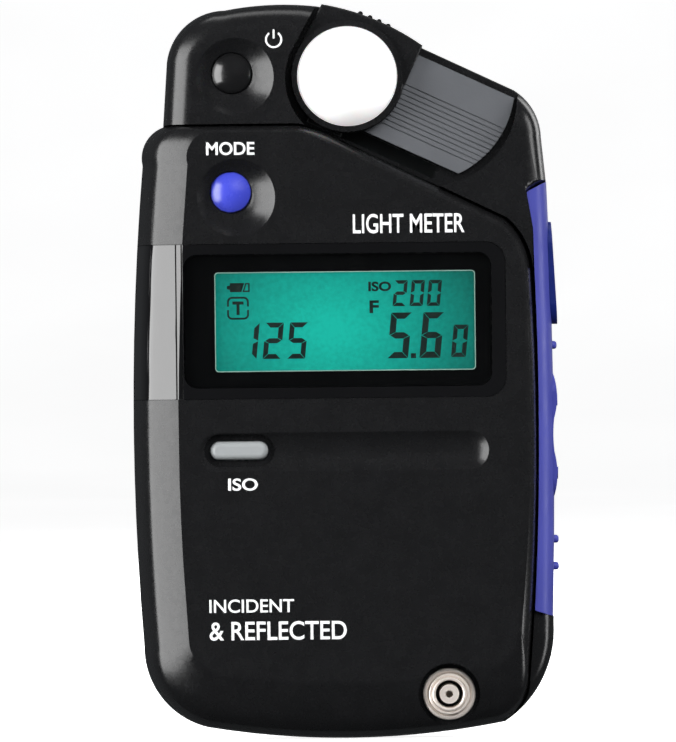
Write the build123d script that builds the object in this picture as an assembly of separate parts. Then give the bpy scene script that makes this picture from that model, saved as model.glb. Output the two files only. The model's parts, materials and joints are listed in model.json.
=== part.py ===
from build123d import *
import math
import os

# Handheld light meter, in millimetres. X is right, +Z is up, and the meter faces -Y.
# The origin is the mouth of the tripod socket, in the back face. A depth is a distance
# forward of the back face, so a depth of 9 is the plane Y = -9.

# Case levels, as depths
BACK = 0.0
PARTING = 9.0          # plane where the front shells meet the rear cover
COVER_FACE = 19.0      # flat of the front cover
HEAD_FACE = 17.4       # flat of the upper housing, a step lower than the front cover
WALL = 1.8             # shell thickness
SEAM = 0.15            # gap between neighbouring outer shells
FIT = 0.1              # gap round a piece that sits in a pocket

# Light receptor and slide
DOME_X = 0.8
DOME_Z = 58.95
SLIDE_ANGLE = -24.9    # direction of the slide, degrees from +X in the front view
SLIDE_TRAVEL = 14.5
FLOOR_TOP = 12.0       # channel floor
FLOOR_BACK = 10.6
STRIP_TOP = 13.0       # low rail along the channel's upper edge
STRIP_START = 8.5      # near side of the rail, across the slide from the dome's centre
CARRIER_BACK = 13.15
CARRIER_FACE = 15.3
CARRIER_RADIUS = 8.5
SLOT_OFFSET = -7.6     # guide slot, measured across the slide from the dome's centre
SLOT_WIDTH = 2.0
DOME_RADIUS = 7.4
DOME_TOP = 22.0

# Window and display
BAND_LOW = 10.94
BAND_HIGH = 34.06
BAND_RIGHT = 24.03
BEZEL_THICKNESS = 1.0
BEZEL_LINES = (-25.0, -24.15)           # fine grooves down the bezel's left side
WINDOW = (-23.8, 21.8, 12.7, 32.4)      # left, right, low, high
LCD = (-21.4, 21.4, 13.7, 31.3)
BOARD_BACK = 7.6
BOARD_FRONT = 8.8

# Front buttons
POWER_AT = (-16.44, 59.55)
POWER_DISH = (-15.95, 58.98)
MODE_AT = (-16.75, 41.77)
MODE_DISH = (-15.92, 40.94)
BUTTON_RADIUS = 3.0
BUTTON_GAP = 0.12
CAP_RADIUS = 4.8       # curve of a round button's top
DISH_RADIUS = 5.8
DISH_DEPTH = 2.1
ISO_AT = (-15.85, 3.3)
ISO_LENGTH = 8.6
ISO_HEIGHT = 2.75
GROOVE_LEFT = -18.97    # ends of the trough's straight part
GROOVE_RIGHT = 18.41
GROOVE_Z = 3.07
GROOVE_DEPTH = 0.9
GROOVE_RADIUS = 5.03
SWITCH_TOP = 10.8
STEM_END = 11.3

# Side controls
GRIP_BACK = 3.5
GRIP_FRONT = 15.5
GRIP_WALL_X = 29.25    # case wall behind the grip
SIDE_DEPTH = 9.3       # middle of the side buttons, as a depth
SIDE_HEIGHT = 6.6      # size of the side buttons front to back
STEM_DEPTH = 6.9
ROCKER_Z = 5.1
ROCKER_X = 30.45
ROCKER_PIN_RADIUS = 0.3
ROCKER_PIN_BACK = 4.4
ROCKER_PIN_FRONT = 13.2

# Power and fasteners
CELL_RADIUS = 7.25
CELL_LENGTH = 50.5
CELL_Z = -20.0
CELL_DEPTH = 9.3
CELL_X = -0.15
HINGE_Z = -30.3
HINGE_DEPTH = 1.7
HINGE_RADIUS = 1.5
HINGE_PIN_RADIUS = 0.6
TONGUE_HALF = 11.8     # half the length of the door's own hinge barrel
KNUCKLE_END = 16.0
DOOR_THICKNESS = 1.6
SOCKET_RADIUS = 3.175  # 1/4 inch thread
SOCKET_DEPTH = 6.0
SYNC_AT = (15.02, -33.25)
REAR_SCREWS = ((-21.5, -33.8), (24.0, -32.4), (-22.9, 54.6), (24.6, 41.6))
SCREW_RADIUS = 1.0


def closed_face(start, *steps):
    """Face with line sides (an end point) and arc sides (a point on the arc, its end)."""
    edges = []
    here = start
    for step in steps:
        if isinstance(step[0], tuple):
            edges.append(ThreePointArc(here, step[0], step[1]))
            here = step[1]
        else:
            edges.append(Line(here, step))
            here = step
    if here != start:
        edges.append(Line(here, start))
    return make_face(Curve() + edges)


def slab(shape, back, front):
    """Solid over a front view shape, between two depths."""
    return extrude(Plane.XZ.offset(back) * shape, front - back)


def block(left, right, low, high, back, front):
    """Box given by its sides in the front view and two depths."""
    return Pos((left + right) / 2, -(back + front) / 2, (low + high) / 2) * Box(
        right - left, front - back, high - low
    )


def disc(at, radius, back, front):
    """Cylinder along Y."""
    return slab(Pos(*at) * Circle(radius), back, front)


def ring(at, outer, inner, back, front):
    return disc(at, outer, back, front) - disc(at, inner, back, front)


def rod(radius, left, right, depth, height):
    """Cylinder along X."""
    turned = Rot(0, 90, 0) * Cylinder(radius, right - left)
    return Pos((left + right) / 2, -depth, height) * turned


def pill(left, right, low, high):
    """Slot shape with round ends, lying along X."""
    return Pos((left + right) / 2, (low + high) / 2) * SlotOverall(right - left, high - low)


def rounded(left, right, low, high, radius):
    centre = Pos((left + right) / 2, (low + high) / 2)
    return centre * RectangleRounded(right - left, high - low, radius)


def along(forward, across):
    """Front view point measured along and across the slide from the dome's centre."""
    turn = math.radians(SLIDE_ANGLE)
    return (
        DOME_X + forward * math.cos(turn) - across * math.sin(turn),
        DOME_Z + forward * math.sin(turn) + across * math.cos(turn),
    )


# ---------------------------------------------------------------- outlines


def cover_outline(left, bottom, right, top):
    """Front cover in the front view, with each side moved inwards."""
    low = 0.95 * bottom
    return closed_face(
        (22.5 - right, -37.95 + bottom),
        ((-0.5, -40 + bottom), (-21 + 0.17 * left, -38.2 + bottom)),
        ((-26.6 + 0.613 * left, -35.2 + 0.808 * bottom), (-30.5 + left, -26 + 0.07 * bottom)),
        ((-31.75 + left, 10), (-30 + left, 46)),
        ((-29.15 + left, 50.1 - top / 2), (-26.85 + left, 51.8 - top)),
        (-6.6, 51.75 - top),
        ((-3.8 - top / 4, 50.95 - top), (-1.1 - top / 3, 49.75 - top)),
        (24.2 - right / 2 - top / 3, 37.5 - top),
        ((26.9 - 0.9 * right, 34 - top / 2), (28.0 - right, 30 - top / 3)),
        ((28.6 - right, 1), (27.0 - right, -31.4 + low)),
        ((25.8 - right, -35.4 + low), (22.5 - right, -37.95 + bottom)),
    )


def case_outline(inset=0):
    """Whole case in the front view, widest at the parting plane; inset moves it inwards."""
    slope = 0.9 * inset
    return closed_face(
        (23.5 - inset / 2, -37.75 + inset),
        ((-0.45, -40 + inset), (-21 + inset / 4, -38.2 + inset)),
        ((-26.6 + 0.6 * inset, -35.2 + 0.7 * inset), (-30.5 + inset, -26)),
        ((-31.75 + inset, 10), (-30 + inset, 46)),
        ((-29.15 + inset, 50.1 - inset / 4), (-26.85 + inset, 51.8 - inset / 4)),
        (-26.2 + inset, 61.5),
        ((-23.8 + 0.75 * inset, 66.5 - 0.7 * inset), (-17.5, 69.2 - inset)),
        ((-9.5, 70 - inset), (-3.75, 69.7 - inset)),
        ((4.6 - 0.3 * inset, 67.3 - slope), (12.2 - 0.4 * inset, 63.2 - slope)),
        (25.75 - 0.6 * inset, 56.8 - slope),
        ((28.5 - 0.85 * inset, 54.0 - inset / 2), (29.75 - inset, 49.7)),
        (30.4 - inset, 43.1),
        ((31.15 - inset, 8), (30.9 - inset, -23)),
        ((28.6 - 0.8 * inset, -32.4 + inset / 2), (23.5 - inset / 2, -37.75 + inset)),
    )


def head_outline(inset):
    """Upper housing in the front view; inset moves only its outer edge."""
    return closed_face(
        (-26.85 + inset, 51.8 + SEAM),
        (-26.2 + inset, 61.5),
        ((-23.8 + 0.75 * inset, 66.5 - 0.7 * inset), (-17.5, 69.2 - inset)),
        ((-9.5, 70 - inset), (-3.75, 69.7 - inset)),
        ((4.6 - 0.3 * inset, 67.3 - 0.9 * inset), (12.2 - 0.4 * inset, 63.2 - 0.9 * inset)),
        (25.75 - 0.6 * inset, 56.8 - 0.9 * inset),
        ((28.5 - 0.85 * inset, 54.0 - 0.5 * inset), (29.75 - inset, 49.7)),
        (30.4 - inset, 43.2),
        (27.25, 41.5),
        (28.15, 36),
        (28.15, 30),
        ((27.05, 34.15), (24.3, 37.65)),
        (-1.03, 49.9),
        ((-3.75, 51.1), (-6.6, 51.8 + SEAM)),
        (-26.85 + inset, 51.8 + SEAM),
    )


def grip_outline():
    """Side grip in the front view."""
    return closed_face(
        (27.35, 41.4),
        (28.27, 36),
        (28.4, 30),
        ((28.78, 1), (27.95, -21)),
        (30.75, -21.95),
        ((31.15, 9), (30.4, 43.0)),
    )


def side_bulge(inset):
    """Tall shape whose right side is the bowed flank of the grip, moved inwards."""
    return closed_face(
        (20, -24),
        (30.72 - inset, -24),
        ((31.15 - inset, 9), (30.33 - inset, 45)),
        (20, 45),
    )


def grip_room():
    """Side of the case that is cut back for the grip."""
    return closed_face((GRIP_WALL_X, 42.45), (GRIP_WALL_X, -21.5), (40, -25.1), (40, 48.1))


def channel_outline():
    """Recess that the dome's carrier slides in, open at the top and at the ridge."""
    return closed_face(
        (-3.75, 72),
        (-3.75, 69.6),
        (-7.6, 62.6),
        ((-8.0, 55.6), (-2.9, 49.75)),
        (-3.3, 48.5),
        (14.2, 41.0),
        (14.5, 42.5),
        ((22.0, 46.0), (26.1, 55.0)),
        (26.9, 59.5),
        (14, 68),
    )


def band_outline(gap):
    """Band that carries the window, running off the left side of the case."""
    return Pos(BAND_RIGHT - gap - 30, (BAND_LOW + BAND_HIGH) / 2) * RectangleRounded(
        60, BAND_HIGH - BAND_LOW - 2 * gap, 3
    )


def window_outline(gap):
    left, right, low, high = WINDOW
    return rounded(left - gap, right + gap, low - gap, high + gap, 2 + gap)


# ---------------------------------------------------------------- case shells


# Crown of the front cover: depth, then how far the left, bottom, right and top sides move in
CROWN = (
    (9.0, 0.0, 0.0, 0.0, 0.0),
    (13.5, 1.0, 0.5, 0.1, 0.03),
    (15.6, 1.7, 1.3, 0.2, 0.07),
    (16.4, 2.15, 2.1, 0.28, 0.1),
    (16.9, 2.6, 2.9, 0.36, 0.15),
    (17.35, 3.2, 3.8, 0.48, 0.25),
    (17.9, 4.3, 5.2, 0.68, 0.4),
    (18.35, 5.3, 6.6, 0.9, 0.55),
    (18.75, 6.25, 8.1, 1.15, 0.8),
    (19.0, 6.9, 9.0, 1.6, 1.15),
)


def cover_body(wall, top_wall):
    """Crowned body of the front cover, with its surface moved inwards by a wall."""
    sections = []
    for depth, left, bottom, right, top in CROWN:
        shape = cover_outline(left + wall, bottom + wall, right + wall, top + wall)
        share = (depth - PARTING) / (COVER_FACE - PARTING)
        sections.append(Plane.XZ.offset(depth - share * top_wall) * shape)
    return loft(sections, ruled=True)


def dish(at, face):
    """Ball that scoops a shallow bowl for a front button out of a face."""
    x, z = at
    radius = (DISH_RADIUS**2 + DISH_DEPTH**2) / (2 * DISH_DEPTH)
    return Pos(x, DISH_DEPTH - radius - face, z) * Rot(90, 0, 0) * Sphere(radius)


def groove_scoop():
    """Trough with round ends that runs across the cover beside the ISO button."""
    middle = GROOVE_RADIUS + COVER_FACE - GROOVE_DEPTH
    scoop = rod(GROOVE_RADIUS, GROOVE_LEFT, GROOVE_RIGHT, middle, GROOVE_Z)
    for end in (GROOVE_LEFT, GROOVE_RIGHT):
        scoop += Pos(end, -middle, GROOVE_Z) * Sphere(GROOVE_RADIUS)
    return scoop


def front_cover():
    """Crowned front shell: mode dish, ISO groove, window pocket and sync hole."""
    body = cover_body(0, 0)
    shell = body - cover_body(WALL, WALL)
    inner_face = COVER_FACE - WALL
    shell += disc(MODE_DISH, 7.0, 15.4, inner_face + 0.1)
    shell += block(-23.5, -8.2, -1.8, 8.4, 15.6, inner_face + 0.1)
    shell += ring(SYNC_AT, 4.9, 4.0, 10.0, 15.8) & cover_body(0.2, 0.2)
    for at in REAR_SCREWS[:2]:
        shell += disc(at, 2.4, PARTING, 15.6) & cover_body(0.2, 0.2)
        shell -= disc(at, SCREW_RADIUS + 0.02, PARTING - 1, 13)
    shell -= rod(CELL_RADIUS + 0.2, -26.6, 26, CELL_DEPTH, CELL_Z)
    shell -= block(-28, -26, CELL_Z - 8.6, CELL_Z + 8.6, 8, 13.8)
    shell -= disc(SYNC_AT, 5.1, 8, 10)
    shell -= dish(MODE_DISH, COVER_FACE)
    shell -= disc(MODE_AT, BUTTON_RADIUS + BUTTON_GAP, 14, 20)
    shell -= groove_scoop()
    shell -= slab(pill(-21.1, -10.6, 0.85, 5.75), COVER_FACE - 1.7, 20)
    x, z = ISO_AT
    half = ISO_LENGTH / 2 + BUTTON_GAP
    tall = ISO_HEIGHT / 2 + BUTTON_GAP
    shell -= slab(pill(x - half, x + half, z - tall, z + tall), 14, 20)
    skin = slab(band_outline(0), PARTING - 1, 20) - cover_body(BEZEL_THICKNESS, BEZEL_THICKNESS)
    shell -= skin
    shell -= slab(window_outline(FIT), 15, 20)
    shell -= disc(SYNC_AT, 4.6, 15.6, 20)
    shell -= disc(SYNC_AT, 4.0, 9, 20)
    return shell


def window_bezel():
    """Glossy band round the left side of the front cover that frames the window."""
    body = cover_body(0.08, 0.12) - cover_body(BEZEL_THICKNESS, BEZEL_THICKNESS)
    body &= slab(band_outline(0.05), PARTING, 20)
    for x in BEZEL_LINES:
        line = block(x - 0.08, x + 0.08, BAND_LOW, BAND_HIGH, 12, 20)
        body -= line - cover_body(0.3, 0.3)
    return body - slab(window_outline(FIT), 15, 20)


# Crown of the upper housing: depth, then how far its outer edge moves in
HEAD_CROWN = (
    (9.0, 0.0),
    (13.0, 0.35),
    (14.8, 0.7),
    (15.6, 1.05),
    (16.2, 1.5),
    (16.7, 2.1),
    (17.1, 2.8),
    (17.32, 3.5),
    (17.4, 4.2),
)


def head_body():
    sections = []
    for depth, inset in HEAD_CROWN:
        sections.append(Plane.XZ.offset(depth) * head_outline(inset))
    return loft(sections, ruled=True) - slab(offset(grip_outline(), 0.08), 8, 20)


def head_frame():
    """Upper housing: power dish, slide channel with its floor and slot, right shoulder."""
    body = head_body()
    room = offset(head_outline(1.0), -1.3)
    walls = offset(channel_outline(), 1.2)
    body -= slab(room - walls, PARTING - 1, HEAD_FACE - WALL)
    body -= slab(room, PARTING - 1, FLOOR_BACK)
    body += disc(POWER_DISH, 6.6, 13.8, HEAD_FACE - WALL + 0.1) - slab(channel_outline(), 8, 20)
    for at in REAR_SCREWS[2:]:
        boss = disc(at, 2.3, PARTING, HEAD_FACE - WALL + 0.1) & head_body()
        body += boss
        body -= disc(at, SCREW_RADIUS + 0.02, PARTING - 1, 13)
    low_zone = channel_outline() - slide_band(STRIP_START, 30)
    body -= slab(channel_outline(), STRIP_TOP, 20)
    body -= slab(low_zone, FLOOR_TOP, 20)
    body -= dish(POWER_DISH, HEAD_FACE)
    body -= disc(POWER_AT, BUTTON_RADIUS + BUTTON_GAP, 12, 20)
    body -= slab(slide_slot(SLOT_WIDTH / 2, 3.3), FLOOR_BACK - 1, FLOOR_TOP + 1)
    body -= slab(slide_slot(2.2, 3.4), PARTING - 1, FLOOR_BACK)
    body -= disc((DOME_X, DOME_Z), 5.2, 8, 20)
    return body


def slide_patch(first, last, low, high):
    """Rectangle laid along the slide: its ends along it, then its sides across it."""
    corners = (along(first, low), along(last, low), along(last, high), along(first, high))
    return closed_face(*corners)


def slide_band(low, high):
    """Long strip parallel to the slide, between two distances across it."""
    return slide_patch(-30, 40, low, high)


def slide_slot(half_width, end):
    """Slot shape for the guide, long enough for the whole travel."""
    low = SLOT_OFFSET - half_width
    return slide_patch(-end, SLIDE_TRAVEL + end, low, low + 2 * half_width)


# Rounded edge of the rear cover: depth, then how far the outline moves in
BACK_ROUND = ((9.0, 0.0), (5.0, 0.05), (2.6, 0.25), (1.2, 0.8), (0.4, 1.6), (0.0, 2.6))


def rear_cover():
    """Rear shell: battery opening, hinge knuckles, screw bosses and tripod boss."""
    body = loft([level(*pair) for pair in BACK_ROUND], ruled=True)
    body -= slab(case_outline(WALL + 0.1), WALL, PARTING + 1)
    body += corner_wing()
    body += disc((0, 0), 5.8, 1, SOCKET_DEPTH + 0.4)
    body -= disc((0, 0), 4.4, -1, SOCKET_DEPTH + 1)
    for at in REAR_SCREWS:
        body += disc(at, 2.4, 1, PARTING)
        body -= disc(at, SCREW_RADIUS + 0.12, -1, PARTING + 1)
        body -= disc(at, 2.0, -1, 1.7)
    body -= slab(grip_room(), GRIP_BACK - 0.05, PARTING + 6)
    body -= disc(SYNC_AT, 5.1, 7.9, PARTING + 1)
    for height, radius in ((29.3, 1.4), (12.0, 1.5), (-1.8, 1.5)):
        body -= rod(radius, 26, 33, STEM_DEPTH, height)
    body -= block(-26.6, 25.6, HINGE_Z + 1.9, -11.7, -1, 3.4)
    body -= block(-KNUCKLE_END - 0.2, KNUCKLE_END + 0.2, HINGE_Z - 2.35, -20, -1, 3.6)
    for side in (-1, 1):
        ends = sorted((side * (TONGUE_HALF + 0.2), side * (KNUCKLE_END + 1)))
        body += rod(HINGE_RADIUS, ends[0], ends[1], HINGE_DEPTH, HINGE_Z)
    body -= rod(HINGE_PIN_RADIUS, -14.6, 14.6, HINGE_DEPTH, HINGE_Z)
    body -= slab(rounded(-16, 16, 14, 28, 1.5), -1, 0.35)
    return body


def level(depth, inset):
    """Case outline at a depth, moved inwards."""
    return Plane.XZ.offset(depth) * case_outline(inset)


def corner_wing():
    """Thick lower right corner of the rear cover, beside and below the front cover."""
    rounding = ((8.5, 0.0), (11.5, 0.1), (12.8, 0.45), (13.8, 1.1), (14.3, 1.9), (14.5, 2.8))
    body = loft([level(*pair) for pair in rounding], ruled=True)
    body &= block(23, 40, -38.2, -20, 8, 15)
    neighbours = offset(cover_outline(0, 0, 0, 0), SEAM) + offset(grip_outline(), 0.05)
    return body - slab(neighbours, 8, 15)


# Rounded section of the grip: depth, then how far its outer edge moves in
GRIP_ROUND = (
    (3.5, 1.2),
    (3.8, 0.65),
    (4.5, 0.2),
    (5.8, 0.0),
    (11.2, 0.0),
    (12.7, 0.2),
    (13.8, 0.6),
    (14.6, 1.1),
    (15.2, 1.75),
    (15.5, 2.4),
)


def side_grip():
    """Soft blue grip on the right side, cut for the measuring button and the rocker."""
    sections = [Plane.XZ.offset(depth) * side_bulge(inset) for depth, inset in GRIP_ROUND]
    body = loft(sections, ruled=True)
    body &= slab(grip_outline(), GRIP_BACK, GRIP_FRONT)
    body -= block(20, GRIP_WALL_X, -50, 60, 0, PARTING + 0.05)
    body -= side_pill(21.45, 37.25, SIDE_HEIGHT + 0.5)
    body -= side_pill(-4.8, 15.0, SIDE_HEIGHT + 0.5)
    body -= disc((ROCKER_X, ROCKER_Z), ROCKER_PIN_RADIUS, ROCKER_PIN_BACK, ROCKER_PIN_FRONT)
    for height in (18.56, -10.48, -14.52):
        pip = rod(0.6, 29.6, 31.75, SIDE_DEPTH, height)
        body += fillet(pip.faces().sort_by(Axis.X)[-1].edges(), 0.4)
    return body


def side_pill(low, high, height):
    """Oblong prism along X for the openings and caps of the side controls."""
    shape = Plane.YZ * Pos(-SIDE_DEPTH, (low + high) / 2) * Rot(0, 0, 90) * SlotOverall(
        high - low, height
    )
    return Pos(26, 0, 0) * extrude(shape, 8)


# ---------------------------------------------------------------- display


def display_window():
    return slab(window_outline(0), 17.65, 18.8)


def lcd_glass():
    left, right, low, high = LCD
    return slab(rounded(left, right, low, high, 0.4), 15.6, 17.1)


def lcd_frame():
    """Moulded frame that holds the display off the main board."""
    left, right, low, high = LCD
    body = block(left - 1.4, right + 1.4, low - 1.2, high + 1.2, BOARD_FRONT, 17.1)
    body -= block(left - FIT, right + FIT, low - FIT, high + FIT, 15.55, 18)
    return body - block(left + 1, right - 1, low + 0.3, high - 0.3, 8, 18)


def lcd_backlight():
    left, right, low, high = LCD
    return block(left + 1.4, right - 1.4, low + 2.4, high - 2.4, 13.0, 15.5)


def zebra_strips():
    """Two rubber connectors between the board and the edges of the display."""
    left, right, low, high = LCD
    lower = block(left + 3, right - 3, low + 0.5, low + 2.0, BOARD_FRONT, 15.58)
    upper = block(left + 3, right - 3, high - 2.0, high - 0.5, BOARD_FRONT, 15.58)
    return lower + upper


# ---------------------------------------------------------------- light receptor


def lumisphere():
    """White diffuser dome with the flange that the retainer clamps."""
    rise = DOME_TOP - CARRIER_FACE
    radius = (DOME_RADIUS**2 + rise**2) / (2 * rise)
    at = Pos(DOME_X, radius - DOME_TOP, DOME_Z)
    shell = at * Sphere(radius) - at * Sphere(radius - 1.0)
    shell &= block(-20, 20, 40, 80, CARRIER_FACE - 0.2, 30)
    flange = ring((DOME_X, DOME_Z), DOME_RADIUS + 0.45, 6.3, 14.15, CARRIER_FACE - 0.2)
    neck = ring((DOME_X, DOME_Z), DOME_RADIUS, 6.3, 14.15, CARRIER_FACE)
    return shell + flange + neck


def carrier_outline():
    block_shape = closed_face(
        (-2.9, 69.75),
        ((4.9, 67.45), (12.1, 63.4)),
        (9.4, 57.6),
        (0.8, 58.0),
        (-6.75, 62.8),
    )
    return block_shape + Pos(DOME_X, DOME_Z) * Circle(CARRIER_RADIUS)


def lumisphere_carrier():
    """Sliding plate with the ring round the dome, thumb ribs and guide rib."""
    at = (DOME_X, DOME_Z)
    body = slab(carrier_outline(), CARRIER_BACK, CARRIER_FACE)
    front = body.faces().sort_by(Axis.Y)[0].outer_wire().edges()
    body = fillet(front, 0.35)
    body += ring(at, 8.3, DOME_RADIUS + 0.06, CARRIER_FACE - 0.5, CARRIER_FACE + 0.7)
    body -= disc(at, DOME_RADIUS + 0.06, 12, 20)
    body -= disc(at, DOME_RADIUS + 0.5, 12, CARRIER_FACE - 0.15)
    for x, z in ((2.87, 68.25), (4.3, 67.65), (5.65, 67.05), (7.0, 66.35)):
        body += disc((x, z), 0.38, CARRIER_BACK, CARRIER_FACE - 0.2)
    rib = slide_patch(-2.6, 2.6, SLOT_OFFSET - 0.85, SLOT_OFFSET + 0.4)
    body += slab(rib, FLOOR_BACK - 0.15, CARRIER_BACK + 0.1) - disc(at, DOME_RADIUS + 0.5, 10, 20)
    return body - disc(along(0, SLOT_OFFSET - 0.3), 0.3, 8, CARRIER_BACK)


def lumisphere_retainer():
    return ring((DOME_X, DOME_Z), DOME_RADIUS + 0.45, 6.3, 13.2, 14.15)


def carrier_clip():
    """Foot under the channel floor that keeps the carrier in its slot."""
    foot = slide_patch(-2.8, 2.8, SLOT_OFFSET - 1.5, SLOT_OFFSET + 1.9)
    clip = slab(foot, FLOOR_BACK - 1.05, FLOOR_BACK - 0.15)
    return clip - disc(along(0, SLOT_OFFSET - 0.3), 0.32, 8, 12)


def carrier_screw():
    at = along(0, SLOT_OFFSET - 0.3)
    return disc(at, 0.3, 9.4, 12.6) + disc(at, 0.75, 9.05, FLOOR_BACK - 1.05)


def track_plate():
    """Ridged grey plate on the channel floor."""
    strip = slide_band(-6.35, 7.35) & Pos(11.25, 57.6) * Circle(14.6)
    strip = strip - slide_patch(-30, 4.6, -9, 9) - Pos(DOME_X, DOME_Z) * Circle(6.4)
    body = slab(strip, FLOOR_TOP, STRIP_TOP - 0.1)
    for number in range(10):
        middle = 2.5 - 0.74 * number
        groove = slide_band(middle - 0.1, middle + 0.1)
        body -= slab(groove, STRIP_TOP - 0.3, STRIP_TOP + 1)
    return body


def receptor_barrel():
    at = (DOME_X, DOME_Z)
    body = ring(at, 5.1, 3.9, BOARD_FRONT + 0.1, 12.9)
    return body + ring(at, 4.2, 2.6, 10.2, 11.4)


def receptor_lens():
    """Convex lens over the photodiode, seen when the dome is slid aside."""
    at = Pos(DOME_X, 0, DOME_Z)
    cap = at * Pos(0, -2.9, 0) * Sphere(9.8)
    return disc((DOME_X, DOME_Z), 3.85, 11.4, 13.0) & cap


def colour_filter():
    return disc((DOME_X, DOME_Z), 2.5, 10.3, 11.2)


def photodiode():
    x = DOME_X
    z = DOME_Z
    return block(x - 2.4, x + 2.4, z - 2.4, z + 2.4, BOARD_FRONT, 9.9)


# ---------------------------------------------------------------- controls


def round_button(at, crown, flange_front):
    """Domed push button with a flange behind the wall and a stem to its switch."""
    x, z = at
    body = disc(at, BUTTON_RADIUS, flange_front - 0.5, crown)
    cap = Pos(x, CAP_RADIUS - crown, z) * Sphere(CAP_RADIUS)
    body &= cap
    body += disc(at, BUTTON_RADIUS + 0.8, flange_front - 0.8, flange_front)
    return body + disc(at, 0.9, STEM_END, flange_front - 0.7)


def power_button():
    return round_button(POWER_AT, 16.95, 13.7)


def mode_button():
    return round_button(MODE_AT, 18.55, 15.3)


def iso_button():
    x, z = ISO_AT
    cap = slab(
        pill(x - ISO_LENGTH / 2, x + ISO_LENGTH / 2, z - ISO_HEIGHT / 2, z + ISO_HEIGHT / 2),
        15.0,
        18.45,
    )
    cap = fillet(cap.faces().sort_by(Axis.Y)[0].outer_wire().edges(), 0.85)
    flange = slab(pill(x - 4.9, x + 4.9, z - 2.0, z + 2.0), 14.7, 15.5)
    return cap + flange + disc(ISO_AT, 0.9, STEM_END, 14.8)


def measuring_button():
    """Side button that takes the reading; it slides into the grip."""
    profile = closed_face((30.0, 21.7), (31.88, 21.7), (31.07, 37.0), (30.0, 37.0))
    cap = slab(profile, 0, 20) & side_pill(21.7, 37.0, SIDE_HEIGHT)
    return cap + rod(1.15, 24.6, 30.2, STEM_DEPTH, 29.3)


def up_down_rocker():
    """Side rocker with two raised pads and a dip over its pivot."""
    profile = closed_face(
        (29.95, -4.5),
        (31.0, -4.5),
        ((31.6, -1.0), (31.2, 2.6)),
        ((31.05, ROCKER_Z), (31.2, 7.6)),
        ((31.65, 11.4), (31.0, 14.7)),
        (29.95, 14.7),
    )
    body = slab(profile, 0, 20) & side_pill(-4.5, 14.7, SIDE_HEIGHT)
    for height in (12.0, -1.8):
        body += rod(0.9, 24.8, 30.2, STEM_DEPTH, height)
    return body - disc((ROCKER_X, ROCKER_Z), ROCKER_PIN_RADIUS + 0.06, 0, 20)


def rocker_pin():
    return disc((ROCKER_X, ROCKER_Z), ROCKER_PIN_RADIUS, ROCKER_PIN_BACK, ROCKER_PIN_FRONT)


# ---------------------------------------------------------------- electronics


def main_board():
    shape = closed_face(
        (-26, -11),
        (23.8, -11),
        (23.8, 38),
        (21, 38),
        (17.5, 43),
        (10, 48.5),
        (7, 52),
        (7, 62.5),
        (3.5, 65),
        (-19.6, 65),
        (-19.6, 49),
        (-26, 46),
    )
    return slab(shape, BOARD_BACK, BOARD_FRONT)


def board_components():
    """Chips and a capacitor on the back of the board."""
    parts = block(-18, -9, 32, 41, 6.2, BOARD_BACK)
    parts += block(-2, 4, 36, 43, 6.4, BOARD_BACK)
    parts += block(9, 16, 30, 35, 6.4, BOARD_BACK)
    return parts + disc((-17, 12), 3.1, 3.4, BOARD_BACK)


def button_switches():
    """Tactile switches under the three front buttons."""
    group = Part()
    for x, z in (POWER_AT, MODE_AT, ISO_AT):
        group += block(x - 2.6, x + 2.6, z - 2.6, z + 2.6, BOARD_FRONT, 10.2)
        group += disc((x, z), 1.4, 10.1, SWITCH_TOP)
    return group


def side_board():
    return block(21.8, 22.7, -7, 35, 2.4, BOARD_BACK)


def side_switches():
    group = Part()
    for height in (29.3, 12.0, -1.8):
        group += block(22.7, 23.5, height - 2, height + 2, 4.4, BOARD_BACK)
        group += rod(0.8, 23.4, 23.9, STEM_DEPTH - 1.0, height)
    return group


def sync_terminal():
    """Metal shell of the flash sync socket."""
    body = ring(SYNC_AT, 3.9, 2.05, 8.0, 16.9)
    body += ring(SYNC_AT, 3.3, 2.05, 16.8, 17.6)
    return body + ring(SYNC_AT, 2.75, 2.05, 17.5, 18.0)


def sync_insulator():
    return ring(SYNC_AT, 2.05, 0.8, 8.0, 12.4)


def sync_contact():
    tube = ring(SYNC_AT, 1.45, 0.55, 12.4, 17.5)
    return tube + disc(SYNC_AT, 0.8, 6.5, 12.4) + disc(SYNC_AT, 1.45, 12.4, 13.0)


def sync_nut():
    """Hexagon nut that clamps the terminal behind the cover's collar."""
    nut = slab(Pos(*SYNC_AT) * RegularPolygon(4.9, 6), 8.2, 9.9)
    return nut - disc(SYNC_AT, 3.9, 8, 10)


# ---------------------------------------------------------------- battery


def battery_tray():
    """Open frame round the cell, with long side walls."""
    high = CELL_Z + CELL_RADIUS + 0.35
    low = CELL_Z - CELL_RADIUS - 0.35
    outer = block(-28.3, 26.6, low - 0.7, high + 0.7, 3.6, 8.9)
    body = outer - block(-27.7, 25.7, low, high, 3, 10)
    body += block(-26.5, 25.0, low - 0.7, low, 8.8, 13)
    return body + block(-26.5, 25.0, high, high + 0.7, 8.8, 13)


def battery_cell():
    """AA cell lying along X, positive end to the right."""
    half = CELL_LENGTH / 2
    body = rod(CELL_RADIUS, CELL_X - half, CELL_X + half - 1.2, CELL_DEPTH, CELL_Z)
    return body + rod(2.7, CELL_X + half - 1.3, CELL_X + half, CELL_DEPTH, CELL_Z)


def positive_contact():
    right = CELL_X + CELL_LENGTH / 2
    return block(right, right + 0.4, CELL_Z - 4.5, CELL_Z + 4.5, 4.0, 13.5)


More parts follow.
